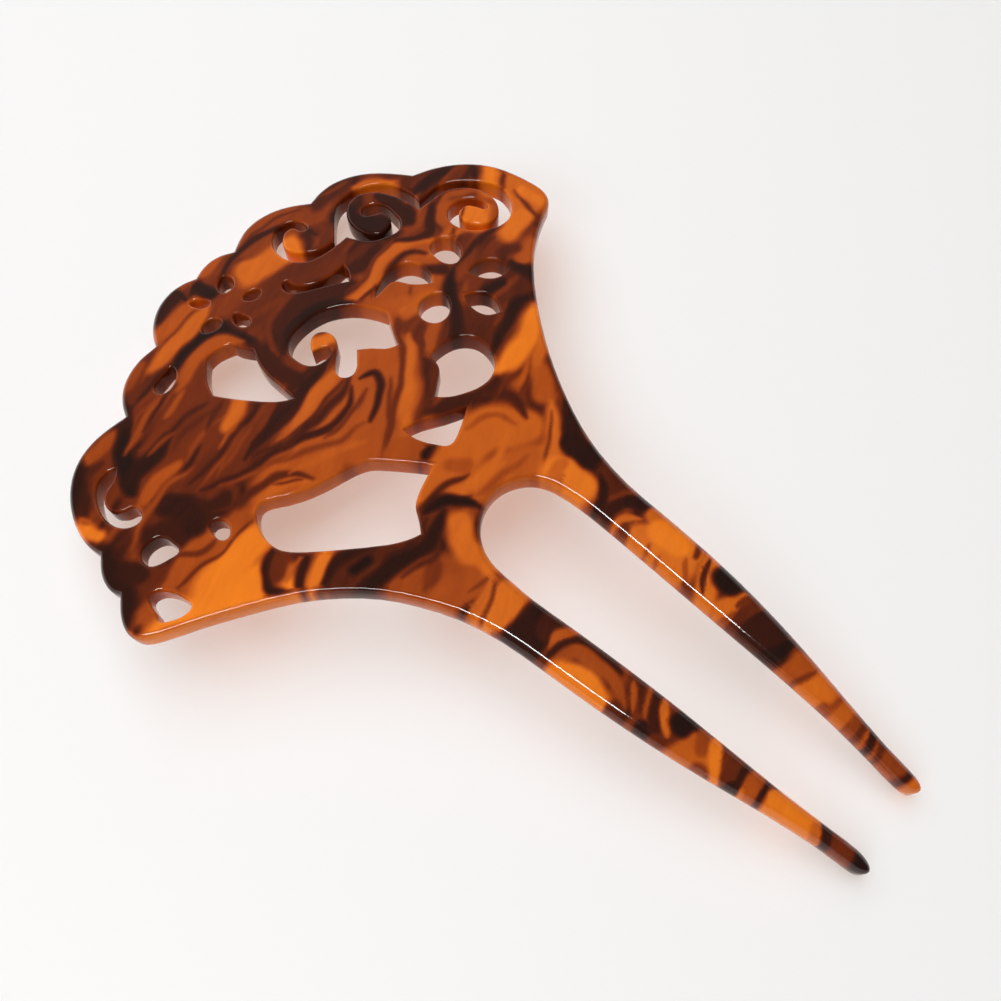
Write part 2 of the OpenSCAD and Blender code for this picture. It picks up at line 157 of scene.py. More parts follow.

# Streaks, in the order they are laid: tone, half width, then the x and y of each point of a
# smooth line, in millimetres from DRAWN_ORIGIN. Tone 0 is smoke and 1 is the clearest
STREAKS = [
    # broad grounds
    (0.42, 6.0, -24, 36, -15, 40, -10, 44),
    (0.66, 5.5, -15, 22, -6, 24, 4, 25),
    (0.64, 4.0, -4, 18, 3, 20, 9, 25),
    (0.62, 3.6, 13, 31, 20, 30, 24, 33),
    (0.60, 3.0, 32, 37, 34, 31, 37, 26),
    (0.76, 3.0, 41, 32, 41.5, 26),
    # far left corner and lower left
    (0.60, 3.4, -38, 25.5, -30, 24.4, -21, 23),
    (0.96, 4.2, -38.6, 19.3, -35, 18.1, -30, 16.4, -26, 14.4),
    (0.93, 2.4, -31, 21, -21, 20.3),
    (0.78, 0.4, -41.2, 24.6, -40.5, 22.7, -35.2, 18.9, -30, 15.2, -25, 11.4),
    (0.36, 1.6, -38.5, 27.4, -31, 27.6),
    (0.10, 2.2, -40.5, 27, -38.5, 29.5, -38, 33, -36.5, 35),
    (0.16, 1.5, -36, 31, -35, 29.5),
    (0.20, 3.2, -30, 30.5, -26, 31, -22.5, 29.5),
    (0.36, 2.4, -28, 34, -21, 32.6, -14, 33),
    (0.13, 1.7, -26, 33.5, -25, 31, -26, 28.4),
    (0.38, 1.6, -21.5, 30, -16, 31, -11, 32.4),
    (0.24, 0.5, -22, 33.8, -18, 33.2, -12, 34),
    (0.50, 0.35, -22.4, 32, -17, 32.4, -12, 33.6),
    (0.22, 0.6, -22, 31.6, -16, 28.4, -10.5, 27, -5, 23.6),
    (0.50, 0.4, -20, 30, -15.6, 27.4, -10.4, 25.8),
    (0.30, 0.6, -23, 27.8, -19.2, 25.8, -14, 24.6, -11.8, 20.6),
    (0.90, 1.1, -35.2, 41.5, -34.6, 38),
    (0.55, 0.3, -35.6, 43.5, -34.2, 40.5),
    (0.58, 1.3, -28, 48.6, -23, 48.4),
    (0.30, 0.6, -30.5, 46.5, -27, 46.5),
    (0.10, 1.6, -34.6, 44.5, -31.5, 47.5, -29.5, 49.3),
    (0.16, 1.1, -17.6, 51.8, -20, 49.6, -22.5, 47),
    (0.06, 1.5, -21.8, 47.8, -24.8, 44, -26.2, 41.3, -27.6, 39.3),
    (0.10, 1.3, -26.8, 41.4, -23, 41, -19, 41.6),
    (0.28, 0.5, -20, 41.4, -16, 42, -11.5, 41),
    (0.52, 0.4, -22.6, 41.8, -20, 41.9, -17.6, 41.3),
    (0.64, 1.1, -28.4, 36.8, -24.5, 37.6, -21, 37),
    (0.20, 0.5, -27, 36, -22, 35.6, -17, 36.8),
    (0.54, 0.6, -33.3, 32.9, -30, 34.6, -25, 35.8, -20, 35.2),
    (0.45, 0.5, -22.5, 43.2, -17, 43.4),
    (0.56, 0.9, -24, 44.6, -18, 46.5, -11, 47.8),
    (0.60, 0.5, -17, 44.4, -12, 45.5),
    (0.25, 0.35, -20, 45.2, -14, 47.2, -10.5, 47),
    (0.34, 0.5, -20, 39, -15.8, 40.2, -10.8, 38.8),
    (0.52, 0.4, -20, 36.6, -15.6, 38, -12, 37.2),
    (0.78, 1.2, -12.6, 35.6, -8.8, 37.2),
    (0.30, 0.4, -15, 37.8, -10, 39.6),
    (0.62, 0.3, -16, 34.2, -12, 34.8),
    (0.50, 0.4, -19, 31.2, -11, 33),
    # top, round the blossom
    (0.36, 1.5, -17.5, 51, -14, 54.6, -9.5, 55),
    (0.54, 1.0, -17, 53.4, -12.5, 54.8),
    (0.76, 1.8, -12, 52.6, -5, 53.4, 0, 54),
    (0.66, 1.8, -7.5, 56.6, 0.5, 56.2),
    (0.45, 0.3, -9.5, 54.4, -4, 55, 0, 55.2),
    (0.22, 1.3, -0.6, 44, -1.8, 39, -2, 34, -1, 31),
    (0.05, 1.3, -11, 49.8, -5, 50.2, -1.7, 49.4, -0.7, 47, -1, 43.4),
    (0.64, 1.4, -12.4, 46.4, -8.5, 48, -5, 48.2, -2.4, 46.6, -1.6, 44.4),
    (0.37, 3.6, 3, 47, 9, 46, 16, 44),
    (0.42, 0.7, 2, 46.4, 6, 45.4, 9, 43.4),
    (0.24, 2.0, 3, 42, 8, 42, 12, 40.6),
    (0.40, 0.5, -0.4, 38.2, 1.7, 42.3, 5, 44.2, 9, 44.4),
    (0.12, 0.9, 0.4, 37.8, 3.3, 39.6, 7.5, 39.7, 11.7, 38.2),
    (0.15, 1.7, -6, 60.2, -1.5, 60.6),
    (0.10, 0.3, 0, 61.5, -0.4, 57.8),
    (0.07, 1.0, 2.2, 58.4, 2.6, 55.2),
    (0.48, 2.0, 1.5, 51.6, 5, 51.6),
    (0.78, 3.0, 9, 53, 12.4, 52),
    (0.50, 1.6, 2, 60.6, 6, 61, 10, 60),
    (0.64, 0.9, 4.4, 59.6, 7.6, 60),
    (0.88, 1.7, 14.4, 49.6, 16, 52.6, 17.2, 54),
    (0.36, 1.6, 21, 55, 21.4, 51, 19.5, 47),
    (0.40, 0.4, 21.4, 54, 20.4, 48.4),
    (0.34, 1.8, 12, 47.4, 21, 44.6),
    (0.50, 2.8, 12, 57, 18, 55.5, 23, 52),
    (0.54, 1.5, 12, 59.4, 18, 59.2, 22, 56.6),
    (0.18, 0.6, 4.6, 55.8, 7.5, 57.4, 11.5, 57.8, 16, 56.8, 19.4, 53.6, 19, 49),
    (0.34, 0.3, 12, 58.4, 18, 58, 21.6, 55.4),
    (0.22, 1.5, 12, 42, 13, 39.5, 14, 37.5),
    (0.24, 1.2, 16, 40, 19, 39, 22.4, 39.6),
    (0.74, 1.3, 11.5, 36.4, 16, 35.4, 20.8, 37, 25.4, 36, 27.6, 32.6),
    (0.40, 0.3, 13, 37.4, 17, 37, 21, 38.2, 26, 37.4),
    (0.24, 0.45, 13, 35, 17, 34.3, 20, 34.6, 23.4, 35, 25.4, 31.6),
    (0.08, 0.7, 1.3, 38.5, 5, 40, 9.4, 38.8, 12.6, 35.6),
    (0.82, 1.2, 3.5, 35.5, 6, 34),
    # upper right
    (0.28, 1.6, 24, 53.6, 30, 53.4),
    (0.45, 0.4, 25.6, 54.2, 30, 52.8),
    (0.74, 1.1, 29.6, 50.8, 32.2, 47.8, 33.2, 45.4),
    (0.32, 0.9, 34, 49, 35.6, 45.5),
    (0.56, 0.8, 37, 47.6, 38.4, 44.6),
    (0.09, 2.4, 24.4, 48, 24, 44, 25.5, 41),
    (0.34, 0.9, 26.8, 46.2, 28, 44.5),
    (0.16, 1.3, 30, 46, 29.6, 41, 28.5, 38.6),
    (0.30, 1.0, 33.5, 44.6, 38, 43),
    (0.12, 1.0, 32.8, 42, 37, 41.2, 41, 40.2),
    (0.58, 0.8, 32.5, 37.4, 36, 36.6, 38.4, 34),
    (0.30, 0.4, 29.4, 32, 30.2, 35.4, 32.6, 37.4, 36, 37.6, 38.8, 35, 39.2, 31.6),
    (0.15, 0.5, 39.4, 35.3, 42.7, 37.4),
    (0.90, 1.0, 40.4, 32.8, 42.8, 34.8),
    (0.34, 0.35, 40.6, 30.6, 43.8, 33),
    (0.20, 0.8, 24.5, 37.6, 28, 34.6, 30, 35.8, 33.5, 38.6),
    (0.50, 0.5, 26.5, 38.5, 28.5, 37, 33, 39),
    (0.86, 1.6, 33.5, 32.5, 35.5, 31, 33.5, 29.5),
    (0.70, 1.1, 25, 31.5, 31, 31.5, 33, 29),
    (0.35, 0.25, 28, 30.5, 36, 34),
    # lines at the lower left
    (0.62, 1.4, -34, 25.4, -30, 25.6, -23, 24),
    (0.32, 0.24, -34.2, 23.8, -30.1, 23.7, -25.6, 22.8, -20.6, 22.9),
    (0.36, 0.4, -30.6, 27.6, -28.3, 25.1, -25.4, 24.8),
    (0.72, 0.7, -20, 23.6, -15.4, 23.6, -12.6, 20.6),
    (0.30, 0.2, -15.4, 24.3, -12.9, 21.4),
    (0.10, 0.8, -22, 17.8, -24.9, 16.4, -26.2, 14.4, -25.2, 12.6),
    (0.36, 1.4, -24.4, 15, -22.6, 16),
    (0.66, 0.3, -24.4, 13.2, -21.6, 14.2, -19.8, 14.4),
    (0.12, 0.6, -19.5, 14, -22.8, 12.7, -24.8, 10.4),
    (0.88, 1.1, -18.5, 11.9, -21.5, 11, -23.3, 9.6),
    (0.30, 1.5, -20.4, 8.2, -16, 7.6, -13.4, 6),
    (0.13, 0.7, -23, 9, -19.5, 10, -15.5, 9.4, -12.4, 6.7),
    (0.05, 0.7, -18, 7.7, -16.2, 7.3),
    (0.57, 3.2, -15.5, 0.5, -12.5, -1, -11, -3.5),
    (0.46, 1.0, -14, -1.5, -11.5, 0.2),
    (0.80, 1.9, -5, 1.6, -6.9, -1.2, -7.6, -5),
    (0.10, 1.1, -22.4, 7.4, -19.4, 5, -14.8, 4.4, -10.5, 2.8, -7.6, 3, -5, 4.2),
    (0.30, 0.4, -15, 2.6, -11, 1, -8.6, 1.6),
    # middle
    (0.20, 0.5, -12.6, 30.9, -7.6, 29.6, -1.8, 30.6, 3.4, 31.4),
    (0.14, 0.8, -14.8, 30.2, -7.6, 30.6, -2, 31.2, 4.5, 31.8),
    (0.74, 1.2, -7.4, 28, -2, 28.8, 2.4, 29.4),
    (0.30, 0.3, -11, 28.2, -6, 27, -1, 27.4, 3, 27.8),
    (0.26, 0.7, -14, 29.4, -9, 26.8, -1.5, 26.2, 4, 27.6),
    (0.20, 0.5, -9, 26.2, -7.4, 25.4, -4.4, 24.1, -1, 24.1, 1.8, 26),
    (0.48, 0.5, -14, 27, -9.8, 24.4, -5.7, 21.6, -1.4, 20.6),
    (0.14, 0.5, -0.8, 20.2, 2.7, 21.8, 4.8, 23.4, 5.4, 24.9, 3.6, 25.6),
    (0.40, 0.4, -6.5, 23.4, -2, 23, 2.6, 23.8),
    (0.70, 0.5, -13, 23.6, -8, 21.4, -3.4, 18.6),
    (0.76, 1.0, 12.8, 25, 9, 21.8, 4.6, 18.4, -0.4, 14.6),
    (0.42, 0.4, 6, 22.7, 1, 18.5, -4, 15.2),
    (0.38, 0.5, 19.3, 30.2, 16, 28.8, 12.6, 27.4, 10.6, 24.6, 7, 21.4, 2, 18.6, -2.6, 15.7),
    (0.62, 1.2, 18.4, 25.6, 16, 23.4, 12, 21),
    (0.34, 0.6, 15.6, 24.6, 13.4, 23.6, 12.4, 22.4),
    (0.34, 0.8, 11.5, 18.4, 8, 16.6),
    (0.60, 2.2, -3, 13.6, 3, 12.4),
    (0.24, 1.2, 5, 15, 8, 12.7, 11, 10.8, 14, 10),
    (0.05, 0.9, 0, 10.9, 1.2, 10.7),
    # bridge over the gap
    (0.74, 3.4, -1, 7, 7, 7.4, 10.6, 3.4),
    (0.68, 2.6, -1, 2.6, 4, 1.6, 9, -1.4),
    (0.74, 1.6, -5.4, 8.2, -1.5, 7.8),
    (0.62, 1.0, 0.4, 7.4, 1.8, 5.8),
    (0.28, 0.45, -7.4, 6.4, -3, 6.2, 1, 4.9),
    (0.78, 0.9, -3.4, 4.9, 1, 3.4, 4.8, 2.4),
    (0.40, 0.4, -7.4, 5.2, -3.6, 4.2, -1, 2.4),
    (0.56, 0.4, -0.6, 1.8, 4, 1.2, 8, 0.2),
    (0.76, 0.5, 0, 2.6, 5, 3.2, 9.4, 4.6),
    (0.07, 0.8, -6.6, 5.6, -3.8, 5, -2.4, 3, -1.9, 0.4),
    (0.60, 0.5, 6, 9.4, 9.6, 7.6, 10.4, 4.6),
    (0.28, 0.8, 11.4, 10.8, 13, 8.6, 13.2, 6.2, 12, 4),
    (0.62, 1.7, 15.5, 8, 20, 9.6, 24, 11.6),
    (0.38, 0.35, 12.8, 9, 17.6, 9.4, 22, 10.6),
    (0.36, 0.35, 14, 6.6, 18, 8, 23, 10.4),
    (0.72, 0.3, 15, 7.9, 19, 8.9),
    (0.92, 1.7, 15.6, 11.3, 21, 11.2, 26.4, 13.6),
    (0.66, 1.6, 16.4, 4.2, 18.6, 6.6),
    (0.74, 1.0, 19.6, 8, 23.6, 9.4),
    (0.80, 1.1, 7, -3.6, 12, -0.5, 16, 2.8),
    (0.38, 0.2, 7.2, -2.4, 11, -0.6, 14.8, 1.8),
    (0.12, 1.2, 13.2, -6.5, 13.2, -3.8, 15.4, -1, 17.6, 1.6),
    # right
    (0.31, 3.6, 16, 17, 22, 18, 29, 19),
    (0.42, 1.2, 23, 22.4, 28, 24, 33, 25),
    (0.12, 1.0, 15, 18.4, 18.8, 21.4, 21.6, 25),
    (0.07, 0.8, 19.5, 22.6, 22.6, 26, 25.4, 27.2),
    (0.46, 1.2, 24.6, 25.6, 30, 27.6),
    (0.22, 0.5, 25, 27.4, 28.4, 27.4, 33, 27.2, 37, 25.6, 38.4, 22.4),
    (0.10, 0.8, 17, 13.8, 21, 14.8, 26, 16, 28.5, 14.8),
    (0.46, 0.6, 24.5, 19.3, 29, 18.8),
    (0.42, 0.4, 21, 16.4, 24.6, 17.2),
    (0.07, 0.8, 25, 20.8, 27, 20.2),
    (0.12, 0.9, 30.5, 20.5, 30.7, 17.5),
    (0.66, 1.3, 32.4, 20, 35, 20.6),
    (0.30, 1.0, 31.4, 23.2, 33, 22.4),
    (0.84, 1.8, 34.6, 24.6, 38, 25),
    (0.36, 0.3, 41.4, 29, 40, 25.4, 39, 22.4),
    (0.86, 0.9, 42.2, 28, 41.6, 24.6),
    (0.70, 1.4, 15.5, 28, 19.5, 26.5),
    (0.66, 1.0, 14, 31.4, 17, 29.6),
    (0.22, 1.0, 22.6, 30.8, 24, 28.4),
    # left prong
    (0.62, 2.2, -14.5, -3.5, -10.5, -4.5),
    (0.46, 0.25, -11.6, -5.4, -8.6, -5.9, -7, -6.8),
    (0.84, 2.2, -14, -9.5, -8, -9.8),
    (0.76, 0.6, -14.5, -8, -7.5, -6.4),
    (0.44, 0.3, -13.7, -9, -7.3, -6.8),
    (0.40, 0.8, -13.8, -11.2, -13.2, -12),
    (0.10, 2.4, -14, -14.3, -10, -14.4, -7, -14.7),
    (0.25, 1.6, -9, -15.7, -7.5, -15.7),
    (0.33, 0.9, -13.6, -17.2, -13, -17.6),
    (0.69, 0.7, -10.5, -17.4, -8.5, -17.4, -6.6, -18.8),
    (0.20, 0.8, -11.8, -17.7, -9, -18.9, -7.2, -22, -7.4, -26),
    (0.59, 0.9, -11.8, -18.6, -9.2, -19.8, -8.3, -22.5, -8.8, -26, -10.5, -28.5),
    (0.92, 2.7, -12.9, -21.2, -12, -22.8, -12.9, -24.8),
    (0.15, 0.5, -6.5, -21, -6.5, -25),
    (0.33, 1.0, -13.2, -28.2, -11.5, -28),
    (0.66, 0.5, -10.2, -29.6, -7, -27.8),
    (0.30, 0.3, -9.8, -30.5, -6.5, -29),
    (0.62, 0.4, -10, -31.3, -6.5, -30),
    (0.10, 0.9, -12.6, -32.2, -11, -31.8),
    (0.22, 0.7, -9.5, -32.2, -6.3, -31),
    (0.38, 1.0, -12.4, -34.2, -11.2, -34),
    (0.79, 0.6, -10, -34.6, -8, -33.2, -6.3, -32),
    (0.72, 2.2, -11.5, -37.5, -9, -38.5),
    (0.54, 0.8, -8.5, -39, -6.5, -38.3),
    (0.05, 1.6, -7.6, -35.4, -7.1, -35.5),
    (0.45, 0.9, -11.8, -40.4, -10.5, -40),
    (0.30, 0.4, -11.3, -42.2, -9.6, -41.1),
    (0.90, 0.9, -10.4, -42.3, -8.5, -41, -6.5, -39.8),
    (0.38, 1.0, -9, -43.2, -6.2, -42.8),
    (0.10, 0.8, -10.6, -43.8, -9.6, -44.5),
    (0.15, 0.45, -9.8, -45, -6.2, -44.6),
    (0.64, 1.0, -9.6, -46.4, -6.2, -46.2),
    (0.79, 0.4, -10.2, -46, -9.3, -45.7),
    (0.10, 0.42, -10, -48.1, -6, -47.6),
    (0.88, 1.3, -7, -49.2, -6.2, -52, -5.8, -54.6),
    (0.92, 2.4, -8.5, -50.6, -7.5, -53, -7.2, -54.4),
    (0.76, 0.8, -8, -56, -6.5, -55.2),
    (0.15, 0.7, -8, -57.6, -6.6, -56.9, -5.4, -56),
    (0.40, 1.2, -7.2, -59.4, -5.6, -58.7),
    (0.05, 1.3, -6.6, -62.5, -5.2, -62),
    # right prong
    (0.89, 2.7, 8.1, -4.5, 8.3, -7.2),
    (0.74, 0.9, 6.5, -4, 9.5, -3.8),
    (0.60, 0.3, 6.2, -5.4, 8.8, -5),
    (0.08, 1.6, 12.8, -3, 12.6, -6),
    (0.30, 1.3, 12.4, -8.7, 11.6, -11.5),
    (0.10, 0.6, 6, -10.8, 8, -11, 10, -10.4, 11.4, -8.6),
    (0.42, 0.4, 9.5, -11.7, 12, -12.6),
    (0.18, 0.8, 6, -12.6, 9, -12.8, 12.2, -14.3),
    (0.10, 0.9, 10.8, -13.8, 12.4, -15.6),
    (0.76, 1.5, 11.6, -17, 11.6, -20.5, 11, -24.4),
    (0.82, 3.4, 7.5, -19, 8.5, -22.5),
    (0.76, 0.5, 6.2, -14.3, 8.4, -14.5, 10.3, -16.2),
    (0.40, 0.7, 5.8, -15.9, 7.8, -15.5),
    (0.94, 1.8, 10.2, -19.3, 10.4, -21.8),
    (0.58, 0.3, 5.8, -19.3, 8, -19),
    (0.58, 0.3, 5.6, -21.3, 7.5, -21),
    (0.36, 0.42, 10.4, -24.5, 12, -23.9),
    (0.60, 0.4, 7, -25.3, 9.4, -23.8),
    (0.82, 1.5, 6, -29, 9, -27.6, 11.5, -26.6),
    (0.40, 0.4, 5.8, -27, 6.8, -25.2),
    (0.26, 0.42, 7.1, -28, 9, -27, 11.8, -26.2),
    (0.80, 1.1, 7, -31, 10, -32.2),
    (0.04, 2.1, 10.9, -29.6, 11.6, -29.8),
    (0.54, 0.5, 5.2, -31.5, 8, -32.5),
    (0.42, 0.45, 9, -32.4, 11, -33),
    (0.35, 1.0, 5, -33.6, 10.5, -34),
    (0.15, 1.2, 5, -35.6, 10, -36),
    (0.18, 2.5, 6.4, -36.6, 8.6, -37.6),
    (0.07, 0.8, 5.8, -38, 7.5, -39.6, 9.5, -40.6),
    (0.68, 1.6, 8.8, -43, 8.2, -46, 7.6, -50),
    (0.64, 1.2, 5, -41.2, 8.5, -43),
    (0.82, 2.0, 5.4, -45, 7.6, -46.4),
    (0.46, 0.4, 4.8, -42.9, 7, -44, 9, -45),
    (0.54, 0.6, 5.4, -47.6, 6, -47.9),
    (0.74, 1.2, 5.5, -50.3, 8, -50.6),
    (0.54, 0.4, 6, -48.4, 8.5, -49.5),
    (0.54, 0.7, 5.2, -52.4, 7.5, -52.2),
    (0.35, 0.4, 4.8, -53.3, 7.8, -53),
    (0.66, 0.35, 4.8, -54.2, 7.5, -53.9),
    (0.54, 1.8, 5.4, -58.4, 6.6, -58.8),
    (0.15, 0.5, 4.8, -55.2, 7.7, -54.8),
    (0.59, 0.3, 4.8, -56.3, 7.3, -55.8),
    (0.34, 0.35, 5.2, -57.1, 6.8, -56.4),
    (0.20, 0.4, 4.6, -60.8, 7, -61.2),
    (0.80, 1.4, 5, -62.8, 6, -63),
]


def eased(t):
    """A smooth step from 0 to 1 while t goes from 0 to 1."""
    t = np.clip(t, 0, 1)
    return t * t * (3 - 2 * t)


def on_prong(y):
    """How far a place belongs to the prongs: 0 on the fan, 1 on the prongs."""
    return eased((FAN_END - y) / (FAN_END - PRONG_START))


def signed_area(ring):
    """Area inside a ring, positive where it runs anticlockwise."""
    after = np.roll(ring, -1, 0)
    return 0.5 * float(np.sum(ring[:, 0] * after[:, 1] - after[:, 0] * ring[:, 1]))


def straight_points_removed(ring):
    """The ring without the points that lie on a straight line between their neighbours."""
    before, after = ring - np.roll(ring, 1, 0), np.roll(ring, -1, 0) - ring
    cross = before[:, 0] * after[:, 1] - before[:, 1] * after[:, 0]
    lengths = np.linalg.norm(before, axis=1) * np.linalg.norm(after, axis=1)
    return ring[np.abs(cross) > LEAST_BEND * lengths]


def upper_outlines(node):
    """Closed outlines of the upper face of a solid, in plan, each with the plate on its left.

    The first is the rim, which runs anticlockwise, and the others are the openings."""
    bm = bmesh.new()
    bm.from_mesh(node.data)
    bmesh.ops.remove_doubles(bm, verts=bm.verts, dist=CAD_MERGE)
    follow = {}
    for edge in bm.edges:
        # An edge of the upper face has that face on one side and an upright wall on the other
        tilts = sorted(face.normal.z for face in edge.link_faces)
        if len(tilts) == 2 and abs(tilts[0]) < 0.5 < tilts[1]:
            a, b = edge.verts
            follow.setdefault(a, []).append(b)
            follow.setdefault(b, []).append(a)
    rings = []
    while follow:
        ring = [next(iter(follow))]
        while True:
            onward = [vert for vert in follow.pop(ring[-1]) if vert in follow]
            if not onward:
                break
            ring.append(onward[0])
        rings.append(straight_points_removed(np.array([vert.co.xy for vert in ring], float)))
    bm.free()
    rings.sort(key=lambda ring: -abs(signed_area(ring)))
    return [
        ring[::-1] if (signed_area(ring) < 0) != (number > 0) else ring
        for number, ring in enumerate(rings)
    ]


def sides_cut(ring):
    """The ring with its long sides cut into equal shorter ones, shortest on the prongs."""
    parts = []
    for a, b in zip(ring, np.roll(ring, -1, 0)):
        longest = FAN_SIDE + (PRONG_SIDE - FAN_SIDE) * float(on_prong(b[1]))
        count = max(1, math.ceil(float(np.linalg.norm(b - a)) / longest))
        share = np.arange(count)[:, None] / count
        parts.append(a + (b - a) * share)
    return np.concatenate(parts)


def inward(ring):
    """Unit vector into the plate at each point of a ring, and the mitre it needs there."""
    along = np.roll(ring, -1, 0) - ring
    along /= np.linalg.norm(along, axis=1)[:, None]
    left = np.stack([-along[:, 1], along[:, 0]], 1)
    both = left + np.roll(left, 1, 0)
    size = np.linalg.norm(both, axis=1)[:, None]
    return both / size, 2 / np.maximum(size[:, 0], LEAST_MITRE)


def room(points, normals, others):
    """Radius of the largest circle in the plate that touches the rim at each point."""
    best = np.full(len(points), np.inf)
    for i, (point, normal) in enumerate(zip(points, normals)):
        gap = others - point
        ahead = gap @ normal
        near = ahead > 0.003 * MM
        if near.any():
            square = np.einsum("ij,ij->i", gap[near], gap[near])
            best[i] = float((square / (2 * ahead[near])).min())
    return best


def nearest_side(points, starts, ends):
    """Distance from each point to the outlines, the side it is nearest to, and how far along."""
    side = ends - starts
    square = np.einsum("ij,ij->i", side, side)
    distance, index, share = [], [], []
    for batch in np.array_split(points, max(1, len(points) // BATCH)):
        gap = batch[:, None, :] - starts[None]
        t = np.clip(np.einsum("ijk,jk->ij", gap, side) / square, 0, 1)
        miss = gap - t[..., None] * side[None]
        far = np.einsum("ijk,ijk->ij", miss, miss)
        pick = far.argmin(1)
        rows = np.arange(len(batch))
        distance.append(np.sqrt(far[rows, pick]))
        index.append(pick)
        share.append(t[rows, pick])
    return np.concatenate(distance), np.concatenate(index), np.concatenate(share)


def inside(points, starts, ends):
    """Whether each point is on the plate, where a line to its right meets an odd count of sides."""
    rise = ends[:, 1] - starts[:, 1]
    slant = (ends[:, 0] - starts[:, 0]) / np.where(rise == 0, 1e-12, rise)
    found = []
    for batch in np.array_split(points, max(1, len(points) // BATCH)):
        x, y = batch[:, 0, None], batch[:, 1, None]
        straddles = (starts[None, :, 1] > y) != (ends[None, :, 1] > y)
        cross = starts[:, 0] + (y - starts[:, 1]) * slant
        found.append((straddles & (cross > x)).sum(1) % 2 == 1)
    return np.concatenate(found)


class Rim:
    """The plate's outlines, the width of the rounded edge along them, and rings of points in it."""

    def __init__(self, rings, sizes):
        self.sizes = sizes
        self.rings = [sides_cut(ring) for ring in rings]
        self.starts = np.concatenate(self.rings)
        self.ends = np.concatenate([np.roll(ring, -1, 0) for ring in self.rings])
        self.set_widths()
        self.lay_rings()

    def set_widths(self):
        """Sets the width of the rounded edge at each point, as wide as the plate has room for."""
        self.widths = []
        for number, ring in enumerate(self.rings):
            normal, _ = inward(ring)
            edge = self.sizes.opening_edge if number else self.sizes.rim_edge
            wanted = edge + (self.sizes.prong_edge - edge) * on_prong(ring[:, 1])
            width = np.clip(ROOM_SHARE * room(ring, normal, self.starts), LEAST_EDGE, wanted)
            for _ in range(EVENINGS):
                width = (np.roll(width, 1) + 2 * width + np.roll(width, -1)) / 4
            self.widths.append(width)
        self.start_width = np.concatenate(self.widths)
        self.end_width = np.concatenate([np.roll(width, -1) for width in self.widths])

    def lay_rings(self):
        """Lays rings of points inside the outlines, and the lines that join them."""
        layers = [self.starts]
        self.lines = []
        first = 0
        for ring in self.rings:
            index = first + np.arange(len(ring))
            self.lines += list(zip(index.tolist(), np.roll(index, -1).tolist()))
            first += len(ring)
        for share in RING_SHARES:
            for ring, width in zip(self.rings, self.widths):
                normal, mitre = inward(ring)
                moved = ring + normal * (mitre * width * share)[:, None]
                far, _, _ = nearest_side(moved, self.starts, self.ends)
                kept = (far > ROOM_SHARE * width * share) & inside(moved, self.starts, self.ends)
                number = np.full(len(ring), -1)
                number[kept] = first + np.arange(kept.sum())
                layers.append(moved[kept])
                first += int(kept.sum())
                after = np.roll(number, -1)
                near = np.linalg.norm(np.roll(moved, -1, 0) - moved, axis=1) < RING_GAP
                joined = (number >= 0) & (after >= 0) & near
                self.lines += list(zip(number[joined].tolist(), after[joined].tolist()))
        self.points = np.concatenate(layers)

    def distances(self, points):
        """Each point's distance from the outlines, and the width of the rounded edge there."""
        far, index, share = nearest_side(points, self.starts, self.ends)
        return far, self.start_width[index] * (1 - share) + self.end_width[index] * share

    def grid(self, step):
        """Points on the plate in rows of triangles, clear of the rings of points."""
        low, high = self.starts.min(0), self.starts.max(0)
        rows = np.arange(low[1], high[1], step * math.sqrt(3) / 2)
        columns = np.arange(low[0], high[0], step)
        x, y = np.meshgrid(columns, rows)
        x[1::2] += step / 2
        points = np.column_stack([x.ravel(), y.ravel()])
        points = points[inside(points, self.starts, self.ends)]
        far, width = self.distances(points)
        gap = np.abs(far - np.outer((0, *RING_SHARES), width)).min(0)
        return points[gap > GRID_GAP * step]

    def face(self, step):
        """Points of one face of the flat plate, as (x, y, height), and its triangles."""
        points = np.concatenate([self.points, self.grid(step)])
        # The triangulation is given millimetres, which suit its tolerance
        scale = 1 / MM
        flat = [Vector(point * scale) for point in points]
        spots, _, triangles, *_ = delaunay_2d_cdt(flat, self.lines, [], 0, 1e-4)
        spots = np.array([tuple(spot) for spot in spots]) / scale
        triangles = np.array(triangles)
        triangles = triangles[inside(spots[triangles].mean(1), self.starts, self.ends)]

        far, width = self.distances(spots)
        sizes = self.sizes
        dome = sizes.fan_dome + (sizes.prong_dome - sizes.fan_dome) * on_prong(spots[:, 1])
        drop = np.clip(1 - far / width, 0, 1)
        depth = dome * np.clip(width / (FULL_DOME * dome), 0, 1)
        height = PLATE / 2 - depth * (1 - np.sqrt(1 - drop * drop))
        return np.column_stack([spots, height]), triangles


def bend(verts):
    """Bends the flat plate to the solid's arch; its walls stay upright."""
    inner = ARCH_RADIUS - PLATE
    for vert in verts:
        y = vert.co.y
        upper = math.sqrt(ARCH_RADIUS**2 - y * y) - ARCH_RADIUS + CAD_HIGH.z
        lower = math.sqrt(inner**2 - y * y) - inner + CAD_HIGH.z - PLATE
        vert.co.z = lower + (upper - lower) * (vert.co.z / PLATE + 0.5)


def add_face(bm, points, triangles, upward):
    """Adds one face of the flat plate to a bmesh."""
    verts = [bm.verts.new((x, y, z if upward else -z)) for x, y, z in points]
    for a, b, c in triangles:
        bm.faces.new((verts[a], verts[b], verts[c]) if upward else (verts[c], verts[b], verts[a]))
    loose = [vert for vert in verts if not vert.link_faces]
    bmesh.ops.delete(bm, geom=loose, context="VERTS")


def add_attribute(mesh, name, values):
    """Keeps one number for each point of a mesh."""
    attribute = mesh.attributes.new(name, "FLOAT", "POINT")
    attribute.data.foreach_set("value", values.astype(np.float32))


